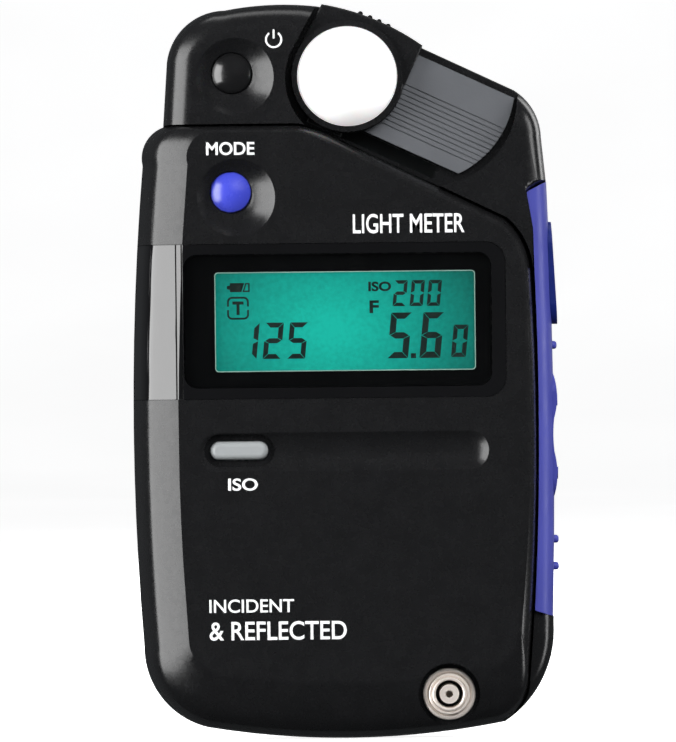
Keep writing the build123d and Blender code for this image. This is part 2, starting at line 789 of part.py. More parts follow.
def battery_spring():
    """Negative plate with a short coil that presses on the cell."""
    left = CELL_X - CELL_LENGTH / 2
    plate = block(-27.65, -27.3, CELL_Z - 4.5, CELL_Z + 4.5, 4.0, 13.5)
    coil = Part()
    turns = ((4.2, -27.15), (3.4, -26.55), (2.6, -25.95), (1.9, -25.65))
    for radius, x in turns:
        coil += Pos(x, -CELL_DEPTH, CELL_Z) * Rot(0, 90, 0) * Torus(radius, 0.24)
    link = block(-27.4, left - 0.02, CELL_Z + 1.7, CELL_Z + 4.3, CELL_DEPTH - 0.15, CELL_DEPTH + 0.15)
    return plate + coil + link


def battery_door():
    """Door over the cell, hinged along its lower edge."""
    high = -11.9
    tongue = block(-TONGUE_HALF, TONGUE_HALF, HINGE_Z, -20, BACK, DOOR_THICKNESS)
    body = block(-26.4, 25.4, HINGE_Z + 2.6, high, BACK, DOOR_THICKNESS) + tongue
    body += rod(HINGE_RADIUS, -TONGUE_HALF, TONGUE_HALF, HINGE_DEPTH, HINGE_Z)
    body -= rod(HINGE_PIN_RADIUS + 0.05, -TONGUE_HALF - 1, TONGUE_HALF + 1, HINGE_DEPTH, HINGE_Z)
    for number in range(4):
        middle = high - 1.6 - 0.9 * number
        body -= block(-5, 4, middle - 0.22, middle + 0.22, -1, 0.3)
    return body


def battery_door_pin():
    return rod(HINGE_PIN_RADIUS, -14.5, 14.5, HINGE_DEPTH, HINGE_Z)


# ---------------------------------------------------------------- fasteners and label


def tripod_socket():
    """Threaded metal insert in the back."""
    return ring((0, 0), 4.4, SOCKET_RADIUS, BACK, SOCKET_DEPTH)


def case_screws():
    """Four cross-recess screws through the rear cover."""
    group = Part()
    for at in REAR_SCREWS:
        screw = disc(at, SCREW_RADIUS, 1.6, 12.0) + disc(at, 1.85, 0.5, 1.7)
        x, z = at
        screw -= block(x - 1.1, x + 1.1, z - 0.25, z + 0.25, -1, 1.1)
        screw -= block(x - 0.25, x + 0.25, z - 1.1, z + 1.1, -1, 1.1)
        group += screw
    return group


def rear_label():
    return slab(rounded(-15.9, 15.9, 14.1, 27.9, 1.4), 0.05, 0.35)


PARTS = (
    front_cover,
    head_frame,
    rear_cover,
    window_bezel,
    side_grip,
    display_window,
    lcd_glass,
    lcd_frame,
    lcd_backlight,
    zebra_strips,
    lumisphere,
    lumisphere_carrier,
    lumisphere_retainer,
    carrier_clip,
    carrier_screw,
    track_plate,
    receptor_barrel,
    receptor_lens,
    colour_filter,
    photodiode,
    power_button,
    mode_button,
    iso_button,
    measuring_button,
    up_down_rocker,
    rocker_pin,
    main_board,
    board_components,
    button_switches,
    side_board,
    side_switches,
    sync_terminal,
    sync_insulator,
    sync_contact,
    sync_nut,
    battery_tray,
    battery_cell,
    positive_contact,
    battery_spring,
    battery_door,
    battery_door_pin,
    tripod_socket,
    case_screws,
    rear_label,
)

os.makedirs("parts", exist_ok=True)
for make in PARTS:
    export_step(make(), "parts/" + make.__name__ + ".step")
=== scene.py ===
import json
import math

import bmesh
import bpy
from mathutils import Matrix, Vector


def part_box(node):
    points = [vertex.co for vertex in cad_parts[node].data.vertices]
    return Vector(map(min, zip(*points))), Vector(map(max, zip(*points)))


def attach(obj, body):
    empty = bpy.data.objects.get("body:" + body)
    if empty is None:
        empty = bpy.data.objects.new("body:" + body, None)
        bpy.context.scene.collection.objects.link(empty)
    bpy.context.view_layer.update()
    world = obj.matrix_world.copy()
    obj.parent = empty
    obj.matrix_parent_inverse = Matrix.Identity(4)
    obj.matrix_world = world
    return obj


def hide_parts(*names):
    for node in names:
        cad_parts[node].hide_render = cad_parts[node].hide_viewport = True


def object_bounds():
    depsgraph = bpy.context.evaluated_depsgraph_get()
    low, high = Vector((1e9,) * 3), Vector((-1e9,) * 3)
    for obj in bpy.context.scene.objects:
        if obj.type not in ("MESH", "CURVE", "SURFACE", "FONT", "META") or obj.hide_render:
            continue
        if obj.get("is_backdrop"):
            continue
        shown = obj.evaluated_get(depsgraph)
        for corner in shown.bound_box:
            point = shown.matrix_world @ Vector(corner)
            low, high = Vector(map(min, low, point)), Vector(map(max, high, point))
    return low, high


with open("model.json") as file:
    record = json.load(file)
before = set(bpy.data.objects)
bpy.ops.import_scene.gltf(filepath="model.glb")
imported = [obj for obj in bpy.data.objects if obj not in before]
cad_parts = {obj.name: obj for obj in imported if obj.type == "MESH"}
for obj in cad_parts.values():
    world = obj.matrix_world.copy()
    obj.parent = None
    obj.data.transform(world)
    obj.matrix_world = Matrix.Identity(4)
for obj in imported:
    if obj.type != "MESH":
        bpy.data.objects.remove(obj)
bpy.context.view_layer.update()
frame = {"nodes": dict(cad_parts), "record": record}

MM = 0.001

# Skins of CAD nodes: weld distance in mm, and angles in degrees
WELD = 0.002
FLAT_ANGLE = 0.4
CRISP_ANGLE = 30

# Clear panes: share of light reflected face on and at the edge, and how late it rises
GLOSS_FACE_ON = 0.012
GLOSS_AT_EDGE = 0.7
GLOSS_POWER = 5

# Printed marks: height above their face and thickness, in mm
INK_RISE = 0.012
INK_THICK = 0.03

SLOTS = {part["node"]: part["material_slot"] for part in frame["record"]["subparts"]}
BODIES = {}
for body_name, members in frame["record"]["behaviour"]["bodies"].items():
    for member in members:
        BODIES[member] = body_name

# Directions that each printed or applied face runs in: across, up and outwards
FRONT = (Vector((1, 0, 0)), Vector((0, 0, 1)), Vector((0, -1, 0)))
REAR = (Vector((-1, 0, 0)), Vector((0, 0, 1)), Vector((0, 1, 0)))
RIGHT = (Vector((0, 1, 0)), Vector((0, 0, 1)), Vector((1, 0, 0)))


# ---------------------------------------------------------------- materials


def new_material(name):
    """Empty node material with its output node."""
    look = bpy.data.materials.new(name)
    look.use_nodes = True
    look.node_tree.nodes.clear()
    output = look.node_tree.nodes.new("ShaderNodeOutputMaterial")
    return look, look.node_tree, output


def noise(tree, scale, detail=3.0, stretch=(1, 1, 1)):
    """Factor output of a noise texture in the object's own space."""
    place = tree.nodes.new("ShaderNodeTexCoord")
    mapping = tree.nodes.new("ShaderNodeMapping")
    mapping.inputs["Scale"].default_value = stretch
    texture = tree.nodes.new("ShaderNodeTexNoise")
    texture.inputs["Scale"].default_value = scale
    texture.inputs["Detail"].default_value = detail
    tree.links.new(place.outputs["Object"], mapping.inputs["Vector"])
    tree.links.new(mapping.outputs["Vector"], texture.inputs["Vector"])
    return texture.outputs["Fac"]


def spread(tree, factor, low, high, start=0.3, end=0.7):
    """Factor mapped to a range of values."""
    node = tree.nodes.new("ShaderNodeMapRange")
    node.inputs["From Min"].default_value = start
    node.inputs["From Max"].default_value = end
    node.inputs["To Min"].default_value = low
    node.inputs["To Max"].default_value = high
    tree.links.new(factor, node.inputs["Value"])
    return node.outputs["Result"]


def ramp(tree, factor, *stops):
    """Colour ramp from (position, colour) stops."""
    node = tree.nodes.new("ShaderNodeValToRGB")
    elements = node.color_ramp.elements
    while len(elements) < len(stops):
        elements.new(0.5)
    for element, (position, colour) in zip(elements, stops):
        element.position = position
        element.color = (*colour, 1)
    tree.links.new(factor, node.inputs["Fac"])
    return node.outputs["Color"]


def shade(colour, factor):
    """Colour made lighter or darker."""
    return tuple(channel * factor for channel in colour)


def surface(name, colour, rough, vary=0.08, tone=0.15, grain=2600, depth=0.01, patch=70,
            stretch=(1, 1, 1), **settings):
    """Opaque material with tone patches, a grained bump and uneven gloss."""
    look, tree, output = new_material(name)
    shader = tree.nodes.new("ShaderNodeBsdfPrincipled")
    broad = noise(tree, patch, 5.0)
    tint = ramp(tree, broad, (0.3, shade(colour, 1 - tone)), (0.7, shade(colour, 1 + tone)))
    tree.links.new(tint, shader.inputs["Base Color"])
    wear = noise(tree, patch * 4, 6.0, stretch)
    tree.links.new(spread(tree, wear, rough - vary, rough + vary), shader.inputs["Roughness"])
    fine = noise(tree, grain, 2.0, stretch)
    bump = tree.nodes.new("ShaderNodeBump")
    bump.inputs["Strength"].default_value = 1.0
    bump.inputs["Distance"].default_value = depth * MM
    tree.links.new(fine, bump.inputs["Height"])
    tree.links.new(bump.outputs["Normal"], shader.inputs["Normal"])
    for socket, value in settings.items():
        shader.inputs[socket.replace("_", " ")].default_value = value
    tree.links.new(shader.outputs["BSDF"], output.inputs["Surface"])
    return look


def clear(name, tint, haze):
    """Clear pane: see-through, with a gloss that grows at a slant."""
    look, tree, output = new_material(name)
    through = tree.nodes.new("ShaderNodeBsdfTransparent")
    through.inputs["Color"].default_value = (*tint, 1)
    gloss = tree.nodes.new("ShaderNodeBsdfGlossy")
    gloss.inputs["Color"].default_value = (1, 1, 1, 1)
    smear = noise(tree, 45, 6.0)
    tree.links.new(spread(tree, smear, haze, haze * 3), gloss.inputs["Roughness"])
    facing = tree.nodes.new("ShaderNodeLayerWeight")
    steep = tree.nodes.new("ShaderNodeMath")
    steep.operation = "POWER"
    steep.inputs[1].default_value = GLOSS_POWER
    tree.links.new(facing.outputs["Facing"], steep.inputs[0])
    blend = tree.nodes.new("ShaderNodeMixShader")
    share = spread(tree, steep.outputs["Value"], GLOSS_FACE_ON, GLOSS_AT_EDGE, 0, 1)
    tree.links.new(share, blend.inputs["Fac"])
    tree.links.new(through.outputs["BSDF"], blend.inputs[1])
    tree.links.new(gloss.outputs["BSDF"], blend.inputs[2])
    tree.links.new(blend.outputs["Shader"], output.inputs["Surface"])
    return look


def lit_display(name):
    """Backlit reflective display: brighter in the middle, with a fine mottle."""
    look, tree, output = new_material(name)
    shader = tree.nodes.new("ShaderNodeBsdfPrincipled")
    low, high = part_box("lcd_glass")
    place = tree.nodes.new("ShaderNodeTexCoord")
    mapping = tree.nodes.new("ShaderNodeMapping")
    middle = (low + high) / 2
    wide = (high.x - low.x) * 0.78
    tall = (high.z - low.z) * 1.35
    mapping.vector_type = "TEXTURE"
    mapping.inputs["Location"].default_value = (middle.x - 2 * MM, middle.y, middle.z - 1.2 * MM)
    mapping.inputs["Scale"].default_value = (wide, 1, tall)
    glow = tree.nodes.new("ShaderNodeTexGradient")
    glow.gradient_type = "SPHERICAL"
    tree.links.new(place.outputs["Object"], mapping.inputs["Vector"])
    tree.links.new(mapping.outputs["Vector"], glow.inputs["Vector"])
    mottle = noise(tree, 1500, 4.0)
    mixed = tree.nodes.new("ShaderNodeMath")
    mixed.operation = "MULTIPLY"
    tree.links.new(glow.outputs["Fac"], mixed.inputs[0])
    tree.links.new(spread(tree, mottle, 0.9, 1.08), mixed.inputs[1])
    colour = ramp(tree, mixed.outputs["Value"],
                  (0.28, (0.002, 0.095, 0.077)),
                  (0.6, (0.004, 0.3, 0.245)),
                  (0.95, (0.007, 0.5, 0.4)))
    dim = ramp(tree, mixed.outputs["Value"],
               (0.2, (0.001, 0.03, 0.025)),
               (0.9, (0.002, 0.09, 0.07)))
    tree.links.new(dim, shader.inputs["Base Color"])
    tree.links.new(colour, shader.inputs["Emission Color"])
    shader.inputs["Emission Strength"].default_value = 0.76
    shader.inputs["Roughness"].default_value = 0.6
    shader.inputs["Specular IOR Level"].default_value = 0.15
    tree.links.new(shader.outputs["BSDF"], output.inputs["Surface"])
    return look


def make_looks():
    """One material for each slot of the record, by its name."""
    black = (0.008, 0.0081, 0.0087)
    return {
        "case_black": surface("satin_case", black, 0.27, vary=0.03, tone=0.12, grain=3300,
                              depth=0.007, patch=260),
        "gloss_black": surface("polished_bezel", (0.004, 0.004, 0.0045), 0.12, vary=0.04,
                               grain=900, depth=0.0006, Coat_Weight=0.6, Coat_Roughness=0.05),
        "window_clear": clear("clear_acrylic", (0.97, 0.985, 0.98), 0.02),
        "display_teal": lit_display("lit_display"),
        # Opal dome: its emission is a painted glow that keeps it white all over; the dome itself
        # gives no light
        "dome_white": surface("opal_dome_painted_glow", (0.95, 0.95, 0.94), 0.42, tone=0.015, grain=1800,
                              depth=0.003, Subsurface_Weight=0.35, Subsurface_Scale=0.002,
                              Emission_Color=(1, 1, 1, 1), Emission_Strength=0.5),
        "track_grey": surface("ridged_track", (0.105, 0.11, 0.12), 0.4, tone=0.12, grain=3000,
                              depth=0.012),
        "grip_blue": surface("soft_touch_grip", (0.058, 0.066, 0.35), 0.45, tone=0.08, grain=3600,
                             depth=0.01),
        "button_blue": surface("blue_key", (0.05, 0.065, 0.54), 0.26, tone=0.08, grain=2600,
                               depth=0.005, Coat_Weight=0.6, Coat_Roughness=0.18),
        "button_navy": surface("navy_key", (0.008, 0.018, 0.15), 0.4, vary=0.03, tone=0.08,
                               grain=2600, depth=0.006, patch=400),
        "button_black": surface("black_key", (0.008, 0.008, 0.0085), 0.21, tone=0.1, grain=2600,
                                depth=0.006, Coat_Weight=0.6, Coat_Roughness=0.12),
        "button_grey": surface("grey_key", (0.3, 0.315, 0.32), 0.34, tone=0.05, grain=2800,
                               depth=0.006),
        "nickel": surface("nickel_plate", (0.92, 0.84, 0.77), 0.34, vary=0.06, tone=0.06,
                          grain=2200, depth=0.003, stretch=(1, 0.2, 1), Metallic=0.5),
        "insulator_black": surface("moulded_insulator", (0.012, 0.012, 0.012), 0.35),
        "board_black": surface("solder_mask", (0.008, 0.01, 0.01), 0.35, tone=0.2, grain=1500,
                               depth=0.01),
        "chip_black": surface("epoxy_package", (0.016, 0.016, 0.018), 0.5),
        "switch_metal": surface("stamped_metal", (0.5, 0.5, 0.49), 0.32, stretch=(1, 1, 8),
                                Metallic=1.0),
        "backlight_white": surface("light_guide", (0.8, 0.84, 0.81), 0.35, tone=0.03),
        "zebra_grey": surface("silicone_strip", (0.2, 0.2, 0.21), 0.6),
        "lens_clear": clear("polished_lens", (0.93, 0.95, 0.97), 0.01),
        "filter_blue": clear("blue_filter", (0.35, 0.6, 0.68), 0.015),
        "spring_steel": surface("spring_steel", (0.55, 0.55, 0.55), 0.28, stretch=(8, 1, 1),
                                Metallic=1.0),
        "cell_label": surface("cell_sleeve", (0.09, 0.09, 0.1), 0.3, tone=0.1),
        "socket_brass": surface("turned_brass", (0.6, 0.46, 0.22), 0.25, grain=1800,
                                stretch=(1, 8, 1), Metallic=1.0),
        "screw_black": surface("black_oxide", (0.04, 0.04, 0.042), 0.38, Metallic=0.9),
        "label_grey": surface("foil_label", (0.13, 0.132, 0.14), 0.4, tone=0.08, Metallic=0.3),
    }


looks = make_looks()
ink_white = surface("white_ink", (0.86, 0.87, 0.88), 0.55, tone=0.03, grain=1800, depth=0.004)
ink_grey = surface("grey_ink", (0.5, 0.51, 0.52), 0.55, tone=0.05, grain=1800, depth=0.004)
segment_black = surface("display_segment", (0.004, 0.012, 0.01), 0.5, tone=0.2, depth=0.002)
mask_black = surface("printed_mask", (0.0012, 0.0012, 0.0014), 0.4, tone=0.2, depth=0.002,
                     Specular_IOR_Level=0.1)
# Grey-green ring round the display opening: a painted highlight that stands for light on the
# opening's bevelled edge
edge_highlight_paint = surface("display_edge_painted_highlight", (0.24, 0.36, 0.31), 0.5, tone=0.1, depth=0.004)
mark_blue = surface("moulded_mark", (0.035, 0.045, 0.3), 0.5, depth=0.006)

for node_name, node in frame["nodes"].items():
    node.data.materials[0] = looks[SLOTS[node_name]]


# ---------------------------------------------------------------- pieces


def add_piece(name, mesh, look, body):
    """New piece that rides on a CAD body."""
    mesh.materials.clear()
    mesh.materials.append(look)
    piece = bpy.data.objects.new(name, mesh)
    bpy.context.scene.collection.objects.link(piece)
    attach(piece, body)
    return piece


def edge_angle(edge):
    """Angle between an edge's two faces, or none where it doesn't have two."""
    return edge.calc_face_angle(0.0) if len(edge.link_faces) == 2 else 0.0


def refine(node_name, soften=0.0, smooth=40):
    """Smooth-shaded stand-in for a CAD node, with its crisp edges slightly broken."""
    source = frame["nodes"][node_name].data
    work = bmesh.new()
    corners = [work.verts.new(vertex.co) for vertex in source.vertices]
    for polygon in source.polygons:
        work.faces.new([corners[index] for index in polygon.vertices])
    bmesh.ops.remove_doubles(work, verts=work.verts, dist=WELD * MM)
    bmesh.ops.dissolve_limit(work, angle_limit=math.radians(FLAT_ANGLE), verts=work.verts,
                             edges=work.edges)
    if soften:
        limit = math.radians(CRISP_ANGLE)
        crisp = [edge for edge in work.edges if edge_angle(edge) > limit]
        bmesh.ops.bevel(work, geom=crisp, offset=soften * MM, offset_type="OFFSET", segments=2,
                        profile=0.6, affect="EDGES", clamp_overlap=True)
    mesh = bpy.data.meshes.new(node_name + "_skin")
    work.to_mesh(mesh)
    work.free()
    mesh.shade_smooth()
    mesh.set_sharp_from_angle(angle=math.radians(smooth))
    slot = SLOTS[node_name]
    piece = add_piece(node_name + "_skin", mesh, looks[slot], BODIES[node_name])
    weighted = piece.modifiers.new("even_shading", "WEIGHTED_NORMAL")
    weighted.keep_sharp = True
    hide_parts(node_name)
    return piece


def curve_mesh(name, curve):
    """Mesh of a filled curve."""
    holder = bpy.data.objects.new(name, curve)
    bpy.context.scene.collection.objects.link(holder)
    bpy.context.view_layer.update()
    graph = bpy.context.evaluated_depsgraph_get()
    mesh = bpy.data.meshes.new_from_object(holder.evaluated_get(graph))
    bpy.data.objects.remove(holder)
    return mesh


def lay(mesh, face, origin, wide, tall, thick):
    """Scales a flat mesh and lays it on a face of the object."""
    across, up, outwards = face
    for vertex in mesh.vertices:
        u, v, w = vertex.co
        vertex.co = origin + across * u * wide + up * v * tall + outwards * w * thick
    return mesh


def flat_shape(name, loops, face, origin, thick):
    """Thin raised shape from closed loops in millimetres, laid on a face."""
    curve = bpy.data.curves.new(name, "CURVE")
    curve.dimensions = "2D"
    curve.fill_mode = "BOTH"
    curve.extrude = 0.5
    for loop in loops:
        spline = curve.splines.new("POLY")
        spline.points.add(len(loop) - 1)
        for point, (u, v) in zip(spline.points, loop):
            point.co = (u, v, 0, 1)
        spline.use_cyclic_u = True
    return lay(curve_mesh(name, curve), face, origin, MM, MM, thick * MM)


def lettering(name, words, face, origin, height, width, thick=INK_THICK, bold=0.012):
    """Raised lettering of a set cap height and width; origin is its lower left corner."""
    curve = bpy.data.curves.new(name, "FONT")
    curve.body = words
    curve.extrude = 0.5
    curve.offset = bold
    curve.resolution_u = 6
    mesh = curve_mesh(name, curve)
    left = min(vertex.co.x for vertex in mesh.vertices)
    right = max(vertex.co.x for vertex in mesh.vertices)
    low = min(vertex.co.y for vertex in mesh.vertices)
    high = max(vertex.co.y for vertex in mesh.vertices)
    wide = width / (right - left)
    tall = height / (high - low)
    for vertex in mesh.vertices:
        vertex.co.x -= left
        vertex.co.y -= low
    return lay(mesh, face, origin, wide * MM, tall * MM, thick * MM)


def rounded_loop(left, right, low, high, radius, steps=6):
    """Rectangle with round corners as a loop of points."""
    corners = (
        (right - radius, high - radius, 0),
        (left + radius, high - radius, 90),
        (left + radius, low + radius, 180),
        (right - radius, low + radius, 270),
    )
    loop = []
    for x, z, start in corners:
        for step in range(steps + 1):
            turn = math.radians(start + 90 * step / steps)
            loop.append((x + radius * math.cos(turn), z + radius * math.sin(turn)))
    return loop


def arc_band(radius, thickness, start, end, steps=40):
    """Part of a ring as a closed loop, between two angles in degrees."""
    turns = [math.radians(start + (end - start) * step / steps) for step in range(steps + 1)]
    outer = [(radius * math.cos(turn), radius * math.sin(turn)) for turn in turns]
    inner = radius - thickness
    return outer + [(inner * math.cos(turn), inner * math.sin(turn)) for turn in reversed(turns)]


def lathe(name, profile, centre, node_name, steps=96):
    """Turned piece round an axis along Y, from (radius, height) points in millimetres."""
    work = bmesh.new()
    rows = []
    for radius, height in profile:
        row = []
        for step in range(steps):
            turn = 2 * math.pi * step / steps
            offset = Vector((radius * math.cos(turn), -height, radius * math.sin(turn))) * MM
            row.append(work.verts.new(centre + offset))
        rows.append(row)
    rows.append(rows[0])
    for inner, outer in zip(rows, rows[1:]):
        for step in range(steps):
            following = (step + 1) % steps
            work.faces.new((inner[step], inner[following], outer[following], outer[step]))
    bmesh.ops.recalc_face_normals(work, faces=work.faces)
    mesh = bpy.data.meshes.new(name)
    work.to_mesh(mesh)
    work.free()
    mesh.shade_smooth()
    mesh.set_sharp_from_angle(angle=math.radians(50))
    slot = SLOTS[node_name]
    piece = add_piece(name, mesh, looks[slot], BODIES[node_name])
    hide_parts(node_name)
    return piece


def bead(radius, rise, half, steps=8):
    """Half-round ridge of a turned profile, from its outer side to its inner side."""
    points = []
    for step in range(steps + 1):
        turn = math.pi * step / steps
        points.append((radius + half * math.cos(turn), rise + half * 0.8 * math.sin(turn)))
    return points


def build_terminal():
    """Sync terminal with the rounded ridges of a turned part."""
    low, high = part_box("sync_terminal")
    centre = Vector(((low.x + high.x) / 2, high.y, (low.z + high.z) / 2))
    outer = (high.x - low.x) / 2 / MM
    deep = (high.y - low.y) / MM
    bore = outer - 1.85
    profile = [(bore, 0), (outer, 0)]
    for radius, rise, half in (
        (outer - 0.4, deep - 1.5, 0.4),
        (outer - 1.06, deep - 0.55, 0.26),
        (bore + 0.26, deep - 0.21, 0.26),
    ):
        profile += bead(radius, rise, half)
    lathe("sync_terminal_turned", profile, centre, "sync_terminal")


# ---------------------------------------------------------------- display


# Segments lit for each digit, and how far the digits lean
SEGMENTS = {"0": "abcdef", "1": "bc", "2": "abged", "5": "afgcd", "6": "afgcde"}
SLANT = 0.1

# Digits shown: value, left, low, width, height and stroke, in mm from the display's middle
DIGITS = (
    ("1", -15.86, -5.6, 2.7, 5.4, 0.73),
    ("2", -12.25, -5.6, 2.7, 5.4, 0.73),
    ("5", -8.63, -5.6, 2.7, 5.4, 0.73),
    ("2", 7.17, 2.05, 1.95, 3.86, 0.52),
    ("0", 9.72, 2.05, 1.95, 3.86, 0.52),
    ("0", 12.26, 2.05, 1.95, 3.86, 0.52),
    ("5", 6.3, -5.7, 3.1, 6.8, 0.93),
    ("6", 11.1, -5.7, 3.1, 6.8, 0.93),
    ("0", 15.8, -5.6, 2.2, 4.8, 0.64),
)

# Opening of the printed mask, in mm from the display's middle: left, right, low, high
OPENING = (-19.3, 19.5, -7.5, 7.35)
OPENING_RADIUS = 0.55
# Width of the painted highlight ring round the opening, in mm
OPENING_HIGHLIGHT_WIDTH = 0.13

# Heights above the glass and thicknesses of the layers, in mm
FACE_RISE, FACE_THICK = 0.03, 0.04
SEGMENT_RISE, SEGMENT_THICK = 0.075, 0.03
MASK_RISE, MASK_THICK = 0.48, 0.06
HIGHLIGHT_RING_RISE, HIGHLIGHT_RING_THICK = 0.47, 0.05


def digit(value, left, low, width, height, thick):
    """Loops of one leaning seven-segment digit."""
    gap = 0.045
    half = height / 2
    inner = width - thick
    shapes = {
        "a": [(gap, height), (width - gap, height), (inner - gap, height - thick),
              (thick + gap, height - thick)],
        "b": [(width, height - gap), (width, half + gap), (inner, half + thick / 2 + gap),
              (inner, height - thick - gap)],
        "c": [(width, half - gap), (width, gap), (inner, thick + gap),
              (inner, half - thick / 2 - gap)],
        "d": [(gap, 0), (thick + gap, thick), (inner - gap, thick), (width - gap, 0)],
        "e": [(0, half - gap), (thick, half - thick / 2 - gap), (thick, thick + gap), (0, gap)],
        "f": [(0, height - gap), (thick, height - thick - gap), (thick, half + thick / 2 + gap),
              (0, half + gap)],
        "g": [(gap + 0.1, half), (thick, half + thick / 2), (inner, half + thick / 2),
              (width - gap - 0.1, half), (inner, half - thick / 2), (thick, half - thick / 2)],
    }
    loops = []
    for key in SEGMENTS[value]:
        loops.append([(left + x + SLANT * z, low + z) for x, z in shapes[key]])
    return loops


def box_loop(left, right, low, high):
    """Rectangle as a loop of points."""
    return [(left, low), (right, low), (right, high), (left, high)]


def display_symbols():
    """Loops of the battery sign, its bar, the line frame and the T that stands in it."""
    battery = [
        [(-17.45, 4.85), (-17.0, 4.75), (-17.0, 4.4), (-15.3, 4.4), (-14.85, 5.75),
         (-17.0, 5.75), (-17.0, 5.4), (-17.45, 5.3)],
    ]
    bar = [
        [(-15.15, 4.4), (-14.06, 4.4), (-14.06, 5.75), (-14.7, 5.75)],
        [(-14.85, 4.62), (-14.28, 4.62), (-14.28, 5.53), (-14.55, 5.53)],
    ]
    halves = [
        arc_frame(-17.46, -14.2, 0.3, 3.7, 2.25, 3.7),
        arc_frame(-17.46, -14.2, 0.3, 3.7, 0.3, 1.75),
    ]
    letter_top = [box_loop(-16.66, -15.0, 2.55, 3.0)]
    letter_stem = [box_loop(-16.05, -15.6, 1.0, 2.56)]
    return battery, bar, halves, letter_top, letter_stem


def arc_frame(left, right, low, high, cut_low, cut_high):
    """Upper or lower half of a rounded line frame, as one closed loop."""
    line = 0.28
    below = cut_low - 0.6
    above = cut_high + 0.01
    outer = rounded_loop(left, right, low, high, 0.75)
    inner = rounded_loop(left + line, right - line, low + line, high - line, 0.5)
    keep = [point for point in outer if below <= point[1] <= above]
    back = [point for point in inner if below <= point[1] <= above]
    if cut_high == high:
        first = (right, cut_low)
        last = (left, cut_low)
        return [first] + keep + [last, (left + line, cut_low)] + back[::-1] + [
            (right - line, cut_low)]
    first = (left, cut_high)
    last = (right, cut_high)
    return [first] + keep + [last, (right - line, cut_high)] + back[::-1] + [
        (left + line, cut_high)]


def build_display():
    """Lit face, its segments, the printed mask and a painted highlight round the opening's edge.
    """
    low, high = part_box("lcd_glass")
    window_low, window_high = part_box("display_window")
    centre = Vector(((low.x + high.x) / 2, low.y, (low.z + high.z) / 2))

    def at(rise):
        return centre + Vector((0, -rise * MM, 0))

    def flat_piece(name, loops, rise, thick, look):
        mesh = flat_shape(name, loops, FRONT, at(rise), thick)
        add_piece(name, mesh, look, "case")

    flat_piece("display_face", [rounded_loop(-20.4, 20.4, -8.4, 8.4, 0.6)], FACE_RISE,
               FACE_THICK, looks["display_teal"])

    loops = []
    for value, left, bottom, width, height, stroke in DIGITS:
        loops += digit(value, left, bottom, width, height, stroke)
    loops.append(box_loop(9.83, 10.6, -5.7, -4.98))
    battery, bar, halves, letter_top, letter_stem = display_symbols()
    loops += halves
    for name, shape in (
        ("display_segments", loops),
        ("battery_sign", battery),
        ("battery_sign_bar", bar),
        ("boxed_letter_top", letter_top),
        ("boxed_letter_stem", letter_stem),
    ):
        flat_piece(name, shape, SEGMENT_RISE, SEGMENT_THICK, segment_black)
    for name, words, left, bottom, height, width in (
        ("display_iso", "ISO", 3.6, 4.3, 1.45, 3.4),
        ("display_f", "F", 3.75, 1.06, 1.9, 1.4),
    ):
        start = at(SEGMENT_RISE) + Vector((left, 0, bottom)) * MM
        mesh = lettering(name, words, FRONT, start, height, width, bold=0.035)
        add_piece(name, mesh, segment_black, "case")

    left, right, bottom, top = OPENING
    opening = rounded_loop(left, right, bottom, top, OPENING_RADIUS)
    inset = 0.05
    outer = rounded_loop((window_low.x - centre.x) / MM + inset,
                         (window_high.x - centre.x) / MM - inset,
                         (window_low.z - centre.z) / MM + inset,
                         (window_high.z - centre.z) / MM - inset, 1.9)
    flat_piece("window_mask", [outer, opening], MASK_RISE, MASK_THICK, mask_black)
    # Thin ring just inside the opening: the painted highlight of its bevelled edge
    inner = rounded_loop(left + OPENING_HIGHLIGHT_WIDTH, right - OPENING_HIGHLIGHT_WIDTH, bottom + OPENING_HIGHLIGHT_WIDTH,
                         top - OPENING_HIGHLIGHT_WIDTH, 0.45)
    flat_piece("mask_edge_painted_highlight", [opening, inner], HIGHLIGHT_RING_RISE, HIGHLIGHT_RING_THICK, edge_highlight_paint)


# ---------------------------------------------------------------- legends


def power_symbol():
    """Ring open at the top, with a short bar in the opening."""
    ring = arc_band(1.28, 0.28, 125, 415)
    bar = box_loop(-0.14, 0.14, 0.15, 1.5)
    return [ring, bar]


